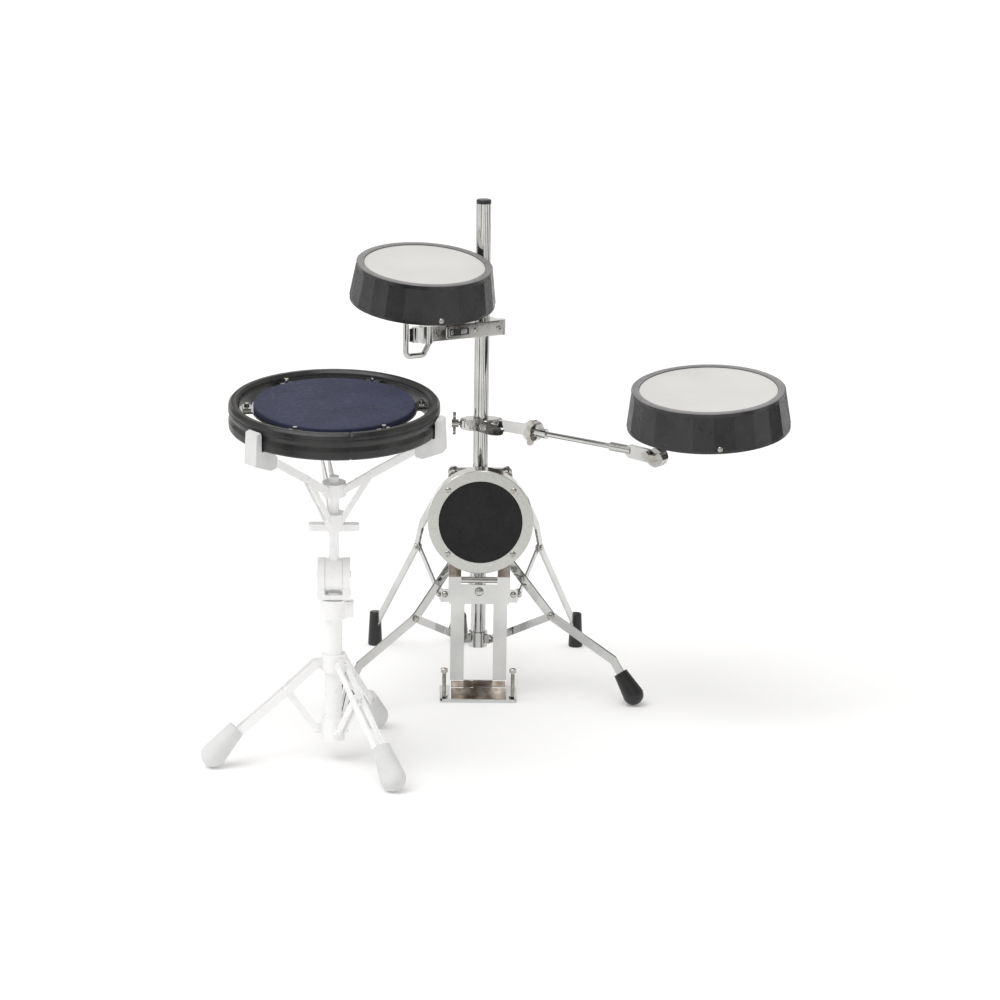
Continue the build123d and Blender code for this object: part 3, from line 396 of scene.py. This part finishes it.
def thread(name, start, axis, radius, length, pitch, body):
    """A raised screw thread round a shaft."""
    place = basis(start, axis)
    per_turn, rise = 28, pitch * 0.45
    count = int(length / pitch * per_turn)
    verts, faces = [], []
    for i in range(count + 1):
        a, z = 2 * math.pi * i / per_turn, length * i / count
        fade = min(1.0, i / per_turn, (count - i) / per_turn)
        for dz, out in ((-0.45, -0.3), (0.0, fade), (0.45, -0.3)):
            r = radius + rise * out
            height = min(max(z + dz * pitch, 0.0), length)
            verts.append(place @ Vector((r * math.cos(a), r * math.sin(a), height)))
    for i in range(count):
        for k in range(2):
            faces.append((i * 3 + k, i * 3 + 3 + k, i * 3 + 4 + k, i * 3 + 1 + k))
    return piece(name, verts, faces, "steel", body, "steel", smooth=False)


# ---------------------------------------------------------------- kick pad
kick_face = basis(Vector((0.0, KICK_FRONT, KICK_MID_Z)), FRONT)
KICK_PAD_PROFILE = [(0.0005, 0.0013), (0.030, 0.0012), (0.055, 0.00105), (0.0685, 0.0008),
                    (0.0704, 0.0001), (KICK_PAD_R, -0.0012), (KICK_PAD_R, -0.0060), (0.0005, -0.0060)]
made = turned(kick_face, round_corner(KICK_PAD_PROFILE, 0.0012), 128, False)
kick_pad = piece("kick_playing_pad", *made, "pad", "rack", "black_rubber")
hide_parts("kick_pad")

KICK_FOAM_PROFILE = [(0.0005, -0.0061), (0.069, -0.0061), (0.0708, -0.0080), (0.0703, -0.0200),
                     (0.0708, -0.0340), (0.069, -0.0358), (0.0005, -0.0358)]
made = turned(kick_face, round_corner(KICK_FOAM_PROFILE, 0.0015), 96, False)
kick_foam = piece("kick_foam_core", *made, "foam", "rack", "foam")
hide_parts("kick_foam")

for i in range(4):
    a = math.radians(45 + 90 * i)
    at = Vector((KICK_SCREW_CIRCLE * math.cos(a), KICK_FRONT, KICK_MID_Z + KICK_SCREW_CIRCLE * math.sin(a)))
    screw = cross_screw(f"kick_ring_screw_{i + 1}", at, FRONT, KICK_SCREW_R, KICK_SCREW_RISE, "rack")
    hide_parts("kick_screws")

# ---------------------------------------------------------------- tom pads
RIM_BEAD = [(0.0006, -0.0010), (0.0006, 0.0004), (0.0010, 0.0009), (0.0018, 0.0011), (0.0105, 0.0011),
            (0.0118, 0.0009), (0.0124, 0.0003), (0.0124, -0.0010)]     # outward from the head, above the rim
for number, tom in ((1, TOM_1), (2, TOM_2)):
    axis = tom["axis"].normalized()
    under = tom["head"] - axis * tom["height"]
    level = basis(under, axis)
    side = math.asin(tom["screw_side"] / tom["r_low"])
    out = (level.to_3x3() @ Vector((math.sin(side), -math.cos(side), 0.0))).normalized()
    at = under + axis * TOM_SCREW_UP + out * (tom["r_low"] - TOM_SCREW_SUNK)
    cross_screw(f"tom_{number}_screw", at, out, TOM_SCREW_R, TOM_SCREW_RISE, f"tom_{number}")
    rim = [(tom["r_head"] + r, tom["height"] + z) for r, z in RIM_BEAD]
    # The bead takes the grey painted sheen.
    piece(f"tom_{number}_rim_bead", *turned(level, rim, 240, True), "rim", f"tom_{number}", "black_plastic")

# ---------------------------------------------------------------- snare pad
snare_top = basis(SNARE, SNARE_AXIS)
HOOP_PROFILE = [(0.1521, -0.0380), (0.1600, -0.0440), (0.1660, -0.0440), (0.1684, -0.0410), (0.1688, -0.0300),
                (0.1674, -0.0265), (0.1660, -0.0225), (0.1674, -0.0185), (0.1689, -0.0160), (0.1689, -0.0118),
                (0.1680, -0.0112), (0.1680, -0.0105), (0.1689, -0.0100), (0.1686, -0.0048), (0.1645, -0.0003),
                (0.1575, -0.0002), (0.1530, -0.0040), (0.1521, -0.0080), (0.1527, -0.0090), (0.1521, -0.0100)]
SEAM_WIDTH = 0.0011
SEAM_DEPTH = 0.0012
HOOP_MIDDLE = (0.1605, -0.0220)     # radius and height of the middle of the hoop's section


def hoop_seam(k, r, z, a):
    """Pulls the cover in a little along its seam."""
    away = (a + math.pi / 2 - SNARE_SEAM_TURN + math.pi) % (2 * math.pi) - math.pi
    depth = SEAM_DEPTH * math.exp(-((away * r) / SEAM_WIDTH) ** 2)
    middle_r, middle_z = HOOP_MIDDLE
    length = math.hypot(r - middle_r, z - middle_z)
    return r - (r - middle_r) / length * depth, z - (z - middle_z) / length * depth


closed_profile = round_corner(HOOP_PROFILE + HOOP_PROFILE[:1], 0.0009, 3)[:-1]
made = turned(snare_top, closed_profile, 1080, True, hoop_seam)
hoop = piece("snare_hoop_cover", *made, "rubber", "snare", "black_rubber")
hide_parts("snare_hoop")

SNARE_PAD_PROFILE = [(0.0005, -0.0035), (0.060, -0.0036), (0.110, -0.0037), (0.1262, -0.0039),
                     (0.1280, -0.0046), (SNARE_PAD_R - 0.0001, -0.0062), (SNARE_PAD_R - 0.0001, -0.0119),
                     (0.0005, -0.0119)]
made = turned(snare_top, round_corner(SNARE_PAD_PROFILE, 0.0012), 192, False)
snare_pad = piece("snare_playing_pad", *made, "blue", "snare", "blue_pad")
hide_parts("snare_pad")


# ---------------------------------------------------------------- first tom clamp
def rounded_rectangle(width, height, radius, steps=6):
    """The (x, y) points round a rectangle with rounded corners."""
    points = []
    corners = ((1, 1, 0), (-1, 1, 90), (-1, -1, 180), (1, -1, 270))
    for sx, sy, start in corners:
        for i in range(steps + 1):
            a = math.radians(start + 90 * i / steps)
            points.append((sx * (width / 2 - radius) + radius * math.cos(a),
                           sy * (height / 2 - radius) + radius * math.sin(a)))
    return points


def plate(name, place, size, radius, profile, look, body, slot):
    """A rounded plate whose edge follows (inset, height) steps, closed at the first and last."""
    verts, faces = [], []
    for inset, height in profile:
        loop = rounded_rectangle(size[0] - 2 * inset, size[1] - 2 * inset, max(radius - inset, 0.0002))
        verts += [place @ Vector((x, y, height)) for x, y in loop]
    m = len(verts) // len(profile)
    for k in range(len(profile) - 1):
        for i in range(m):
            j = (i + 1) % m
            faces.append((k * m + i, k * m + j, (k + 1) * m + j, (k + 1) * m + i))
    faces.append([i for i in reversed(range(m))])
    faces.append([(len(profile) - 1) * m + i for i in range(m)])
    return piece(name, verts, faces, look, body, slot, smooth=False)


bar_run = (BAR_B - BAR_A).normalized()
bar_face = Vector((bar_run.y, -bar_run.x, 0.0))


def on_bar(along, lift=0.0, out=0.0):
    """A frame on the bar's front face: x along the bar, y up, z outward."""
    origin = BAR_A + bar_run * along + UP * lift + bar_face * (BAR_HALF + out)
    return Matrix.Translation(origin) @ Matrix((bar_run, UP, bar_face)).transposed().to_4x4()


LEVER = 0.0016                 # thickness of the clamp's lever plate
BEVELLED = [(0.0, 0.0), (0.0, 0.0010), (0.0003, 0.0014), (0.0008, LEVER)]
WINDOW_FRAME = [(0.0, 0.0), (0.0, 0.0005), (0.0004, 0.0009), (0.0014, 0.0009), (0.0018, 0.0005),
                (0.0018, 0.0001)]
LATCH = [(0.0, 0.0), (0.0002, 0.0007), (0.0008, 0.0011)]
clamp_part = {"body": "fast_clamp_arm", "slot": "chrome"}
plate("fast_clamp_lever", on_bar(0.1095), (0.111, 0.0235), 0.006, BEVELLED, "chrome", **clamp_part)
plate("fast_clamp_window_frame", on_bar(0.0795, 0.0, LEVER), (0.041, 0.0155), 0.003, WINDOW_FRAME, "chrome",
      **clamp_part)
# A flat black plate fills the window: painted shade of the window's dark recess.
plate("fast_clamp_window", on_bar(0.0795, 0.0, LEVER + 0.0001), (0.037, 0.0115), 0.002,
      [(0.0, 0.0), (0.0002, 0.0002)], "plastic", "fast_clamp_arm", "black_plastic")
for i, along in enumerate((0.0645, 0.0880)):
    plate(f"fast_clamp_latch_{i + 1}", on_bar(along, 0.0, LEVER + 0.0003), (0.005 + 0.007 * i, 0.0085), 0.002,
          LATCH, "chrome", **clamp_part)
RIVET = [(0.0004, 0.0017), (0.0030, 0.0015), (0.0046, 0.0010), (0.0054, 0.0)]
for i, along in enumerate((0.112, 0.1565)):
    made = turned(on_bar(along, 0.0, LEVER), RIVET, 48, False)
    piece(f"fast_clamp_rivet_{i + 1}", *made, "steel", "fast_clamp_arm", "steel")
nose = BAR_A - bar_run * 0.0075 - UP * 0.0115
nose_turn = Matrix((bar_run, bar_face.cross(UP).cross(bar_run), UP)).transposed().to_4x4()
nose_place = Matrix.Translation(nose) @ nose_turn
plate("fast_clamp_insert", nose_place, (0.0105, 0.0165), 0.003,
      [(0.0008, 0.0), (0.0, 0.0008), (0.0, 0.0105), (0.0006, 0.0111), (0.0006, 0.0119), (0.0, 0.0125),
       (0.0, 0.0222), (0.0008, 0.0230)], "plastic", "fast_clamp_arm", "black_plastic")
screw_spot = on_bar(0.0264, -0.006).translation
cross_screw("fast_clamp_screw", screw_spot, bar_face, *FAST_CLAMP_SCREW, "fast_clamp_arm")


# ---------------------------------------------------------------- ratchets
TOOTH_RING_DEPTH = 0.0015      # how far a ring reaches in from the roots of its teeth


def toothed_ring(name, origin, axis, start, end, root, tip, count, body):
    """The toothed edge of a ratchet disc."""
    place = basis(origin, axis)
    verts, n = [], count * 4
    for height in (start, end):
        for i in range(n):
            a = 2 * math.pi * i / n
            r = tip if i % 4 < 2 else root
            verts.append(place @ Vector((r * math.cos(a), r * math.sin(a), height)))
    bore = root - TOOTH_RING_DEPTH
    for height in (start, end):
        for i in range(n):
            a = 2 * math.pi * i / n
            verts.append(place @ Vector((bore * math.cos(a), bore * math.sin(a), height)))
    faces = []
    for i in range(n):
        j = (i + 1) % n
        faces += [(i, j, n + j, n + i), (2 * n + j, 2 * n + i, 3 * n + i, 3 * n + j),
                  (j, i, 2 * n + i, 2 * n + j), (n + i, n + j, 3 * n + j, 3 * n + i)]
    return piece(name, verts, faces, "chrome", body, "chrome", smooth=False)


toothed_ring("ratchet_1_fixed_teeth", BALL_A, ACROSS_ROD, -0.0034, -0.0006, 0.0169, 0.0178, 36, "pipe_clamp")
toothed_ring("ratchet_1_moving_teeth", BALL_A, ACROSS_ROD, 0.0006, 0.0034, 0.0169, 0.0178, 36, "tilter_1")
toothed_ring("ratchet_2_moving_teeth", BALL_B, ACROSS_ROD, -0.0034, -0.0006, 0.0154, 0.0163, 32, "tilter_2")
toothed_ring("ratchet_2_fixed_teeth", BALL_B, ACROSS_ROD, 0.0006, 0.0034, 0.0154, 0.0163, 32, "tom_arm")


# ---------------------------------------------------------------- fixings
def dome(name, origin, axis, radius, height, look, body, slot):
    """A round rivet or bolt head on a short straight edge."""
    steps = 12
    profile = [(radius * math.sin(math.pi / 2 * i / steps), height * math.cos(math.pi / 2 * i / steps))
               for i in range(steps)]
    profile = [(max(r, 0.0003), z + 0.0005) for r, z in profile] + [(radius, 0.0004), (radius * 0.97, 0.0)]
    return piece(name, *turned(basis(origin, axis), profile, 48, False), look, body, slot)


dome("frame_screw_dome", FRAME_SCREW, FRONT, 0.0078, 0.0058, "chrome", "rack", "chrome")
STRAP_MIDDLE = Vector((0.0420, -0.0020, 0.2300))     # on the front face of the bracket's right strap
EAR_BOLT = Vector((0.0590, 0.0060, 0.1780))          # on the front face of the right side bracket
STRAP_SIZE = (0.0210, 0.0380)
THIN_SKIN = [(0.0, 0.0), (0.0, 0.0003), (0.0004, 0.0006)]
# The straps get thin skins of chrome painted dark brown: a painted reflection.
for side, label in ((-1, "left"), (1, "right")):
    neck = Vector((side * STRAP_MIDDLE.x, STRAP_MIDDLE.y, STRAP_MIDDLE.z))
    plate(f"kick_strap_{label}", basis(neck, FRONT), STRAP_SIZE, 0.001, THIN_SKIN, "painted_reflection", "rack", "chrome")
    ear = Vector((side * EAR_BOLT.x, EAR_BOLT.y, EAR_BOLT.z))
    dome(f"kick_ear_bolt_{label}", ear, FRONT, 0.0055, 0.0042, "steel", "rack", "steel")
RAMP_TOP = Vector((0.0, 0.002, 0.026))         # the frame's foot slopes down from here
RAMP_DOWN = Vector((0.0, -0.9162, -0.4008))
RAMP_FACE = Vector((0.0, -0.4008, 0.9162))
# The foot's ramp gets thin skins of chrome painted dark brown: a painted reflection.
for label, start, end in (("upper", 0.002, 0.019), ("lower", 0.021, 0.050)):
    plate(f"kick_ramp_{label}", basis(RAMP_TOP + RAMP_DOWN * (start + end) / 2, RAMP_FACE),
          (0.0940, end - start), 0.001, THIN_SKIN, "painted_reflection", "rack", "chrome")
WASHER = [(0.0060, 0.0), (0.0086, 0.0), (0.0090, 0.0004), (0.0090, 0.0010), (0.0086, 0.0014),
          (0.0060, 0.0014)]
for side, label in ((-1, "left"), (1, "right")):
    head = Vector((side * SADDLE_BOLT.x, SADDLE_BOLT.y, SADDLE_BOLT.z))
    dome(f"saddle_bolt_{label}_dome", head, FRONT, 0.0056, 0.0026, "steel", "rack", "steel")
    seat = basis(head + Vector((0.0, 0.009, 0.0)), FRONT)
    piece(f"saddle_bolt_{label}_washer", *turned(seat, WASHER, 48, True), "steel", "rack", "steel")
SOCKET_HEAD = [(0.0004, 0.0004), (0.0023, 0.0004), (0.0026, 0.0021), (0.0034, 0.0025), (0.0045, 0.0022),
               (0.0052, 0.0013), (0.0053, 0.0)]
piece("pipe_clamp_screw", *turned(basis(CLAMP_SCREW, FRONT), SOCKET_HEAD, 48, False), "steel", "pipe_clamp",
      "steel")
for label, turn in LEG_TURNS.items():
    a = math.radians(turn)
    spot = COLUMN + Vector((math.sin(a) * LEG_RIVET_R, -math.cos(a) * LEG_RIVET_R, LEG_RIVET_Z))
    across = Vector((-math.cos(a), -math.sin(a), 0.0))
    for i, face in enumerate(RIVET_FACES):
        outward = across * (1 if face > 0 else -1)
        dome(f"leg_{label}_rivet_{i + 1}", spot + across * face, outward, 0.0052, 0.0021, "steel",
             f"brace_{label}", "steel")

# ---------------------------------------------------------------- threads
for side, label in ((-1, "left"), (1, "right")):
    foot = Vector((side * SPIKE.x, SPIKE.y, SPIKE_THREAD_Z))
    thread(f"spike_{label}_thread", foot, UP, 0.0029, 0.0390, 0.0017, f"spike_{label[0]}")
thread("clamp_bolt_thread", CLAMP_BOLT, Vector((1.0, 0.0, 0.0)), 0.0035, 0.0115, 0.0012, "pipe_clamp_bolt")


# ---------------------------------------------------------------- studio
FLOOR_GLOW = 0.12              # the sheet is lit a little from below, as a light table is
ROOM_LIGHT = 0.95
ROOM_TINT = (1.0, 0.985, 0.955)
SUN_POWER = 2.0
CARD_DISTANCE = 1.5
CARD_HEIGHT = 1.5
CARDS = [(-112, 0.22), (-76, 0.12), (-40, 0.30), (3, 0.14), (29, 0.20), (60, 0.30), (96, 0.45), (140, 0.30),
         (171, 0.20), (206, 0.35)]               # degrees from the front, width


def softbox(name, place, target, size, power):
    data = bpy.data.lights.new(name, "AREA")
    data.shape = "RECTANGLE"
    data.size, data.size_y = size
    data.energy = power
    lamp = bpy.data.objects.new(name, data)
    bpy.context.scene.collection.objects.link(lamp)
    lamp.location = place
    lamp.rotation_euler = (target - place).to_track_quat("-Z", "Y").to_euler()
    return lamp


def studio_floor():
    mesh = bpy.data.meshes.new("floor")
    half = 30.0
    corners = [(-half, -half, 0), (half, -half, 0), (half, half, 0), (-half, half, 0)]
    mesh.from_pydata(corners, [], [(0, 1, 2, 3)])
    look = Look("floor_paper", 0.9, specular=0.1)
    look.colours(look.noise(4, 3), (0.91, 0.91, 0.91), (0.93, 0.93, 0.93))
    look.shader.inputs["Emission Color"].default_value = (1.0, 1.0, 1.0, 1.0)
    look.shader.inputs["Emission Strength"].default_value = FLOOR_GLOW
    mesh.materials.append(look.material)
    floor = bpy.data.objects.new("floor", mesh)
    bpy.context.scene.collection.objects.link(floor)


def dark_cards():
    """Upright cards that only reflections see, for the dark lines in the chrome."""
    look = Look("card_cloth", 0.9, specular=0.1)
    look.colours(look.noise(3, 4), (0.020, 0.017, 0.014), (0.060, 0.052, 0.044))
    for i, (turn, width) in enumerate(CARDS):
        a = math.radians(turn)
        middle = COLUMN + Vector((math.sin(a), -math.cos(a), 0.0)) * CARD_DISTANCE
        half = Vector((math.cos(a), math.sin(a), 0.0)) * (width / 2)
        top = UP * CARD_HEIGHT
        mesh = bpy.data.meshes.new(f"card_{i + 1}")
        mesh.from_pydata([middle - half, middle + half, middle + half + top, middle - half + top], [],
                         [(0, 1, 2, 3)])
        mesh.materials.append(look.material)
        card = bpy.data.objects.new(mesh.name, mesh)
        bpy.context.scene.collection.objects.link(card)
        card.visible_camera = False
        card.visible_diffuse = False
        card.visible_shadow = False


def studio_world():
    """A bright room with a few darker upright gaps."""
    world = bpy.data.worlds.new("studio")
    world.use_nodes = True
    tree = world.node_tree
    where = tree.nodes.new("ShaderNodeTexCoord")
    split = tree.nodes.new("ShaderNodeSeparateXYZ")
    turn = tree.nodes.new("ShaderNodeMath")
    turn.operation = "ARCTAN2"
    scaled = tree.nodes.new("ShaderNodeMapRange")
    scaled.inputs["From Min"].default_value = -math.pi
    scaled.inputs["From Max"].default_value = math.pi
    ramp = tree.nodes.new("ShaderNodeValToRGB")
    stops = [(0.00, 1.0), (0.10, 1.0), (0.125, 0.10), (0.165, 0.08), (0.19, 0.9), (0.235, 0.75), (0.27, 0.45),
             (0.30, 0.9), (0.335, 0.9), (0.35, 0.10), (0.385, 0.10), (0.41, 1.0), (0.60, 1.0), (0.64, 0.35),
             (0.68, 0.95), (0.86, 0.9), (0.90, 0.3), (0.94, 1.0)]
    while len(ramp.color_ramp.elements) < len(stops):
        ramp.color_ramp.elements.new(0.5)
    for element, (position, value) in zip(ramp.color_ramp.elements, stops):
        element.position = position
        element.color = (value, value, value, 1.0)
    tree.links.new(where.outputs["Generated"], split.inputs["Vector"])
    tree.links.new(split.outputs["Y"], turn.inputs[0])
    tree.links.new(split.outputs["X"], turn.inputs[1])
    tree.links.new(turn.outputs[0], scaled.inputs["Value"])
    tree.links.new(scaled.outputs["Result"], ramp.inputs["Fac"])
    lift = tree.nodes.new("ShaderNodeValToRGB")
    levels = [(0.0, 0.9), (0.45, 0.95), (0.60, 1.0), (0.80, 0.85), (0.92, 0.45), (1.0, 0.3)]
    while len(lift.color_ramp.elements) < len(levels):
        lift.color_ramp.elements.new(0.5)
    for element, (position, value) in zip(lift.color_ramp.elements, levels):
        element.position = position
        element.color = (value, value, value, 1.0)
    height = tree.nodes.new("ShaderNodeMapRange")
    height.inputs["From Min"].default_value = -1.0
    both = tree.nodes.new("ShaderNodeMath")
    both.operation = "MULTIPLY"
    tint = tree.nodes.new("ShaderNodeVectorMath")
    tint.operation = "SCALE"
    tint.inputs[0].default_value = ROOM_TINT
    tree.links.new(split.outputs["Z"], height.inputs["Value"])
    tree.links.new(height.outputs["Result"], lift.inputs["Fac"])
    tree.links.new(ramp.outputs["Color"], both.inputs[0])
    tree.links.new(lift.outputs["Color"], both.inputs[1])
    tree.links.new(both.outputs[0], tint.inputs["Scale"])
    tree.links.new(tint.outputs["Vector"], tree.nodes["Background"].inputs["Color"])
    tree.nodes["Background"].inputs["Strength"].default_value = ROOM_LIGHT
    bpy.context.scene.world = world


def studio_camera():
    back = Vector((math.sin(VIEW_TURN) * math.cos(VIEW_DOWN), -math.cos(VIEW_TURN) * math.cos(VIEW_DOWN),
                   math.sin(VIEW_DOWN)))
    right = (-back).cross(UP).normalized()
    up = right.cross(-back)
    c, s = math.cos(VIEW_ROLL), math.sin(VIEW_ROLL)
    right, up = right * c + up * s, up * c - right * s
    data = bpy.data.cameras.new("camera")
    data.lens = LENS
    data.sensor_width = 36.0
    camera = bpy.data.objects.new("camera", data)
    bpy.context.scene.collection.objects.link(camera)
    place = COLUMN_MID + right * AIM_RIGHT - up * AIM_DOWN + back * VIEW_DISTANCE
    camera.matrix_world = Matrix.Translation(place) @ Matrix((right, up, back)).transposed().to_4x4()
    bpy.context.scene.camera = camera


studio_floor()
dark_cards()
studio_world()
middle = Vector((0.0, 0.0, 0.4))
overhead = bpy.data.lights.new("overhead", "SUN")
overhead.energy = SUN_POWER
overhead.angle = math.radians(55)
overhead_lamp = bpy.data.objects.new("overhead", overhead)
bpy.context.scene.collection.objects.link(overhead_lamp)
overhead_lamp.rotation_euler = (math.radians(18), math.radians(-16), 0.0)
softbox("key", Vector((-2.4, -2.8, 2.6)), middle, (1.2, 2.4), 6.0)
softbox("fill", Vector((3.0, -2.0, 1.8)), middle, (0.9, 2.6), 3.0)
studio_camera()
bpy.context.scene.view_settings.view_transform = "Standard"
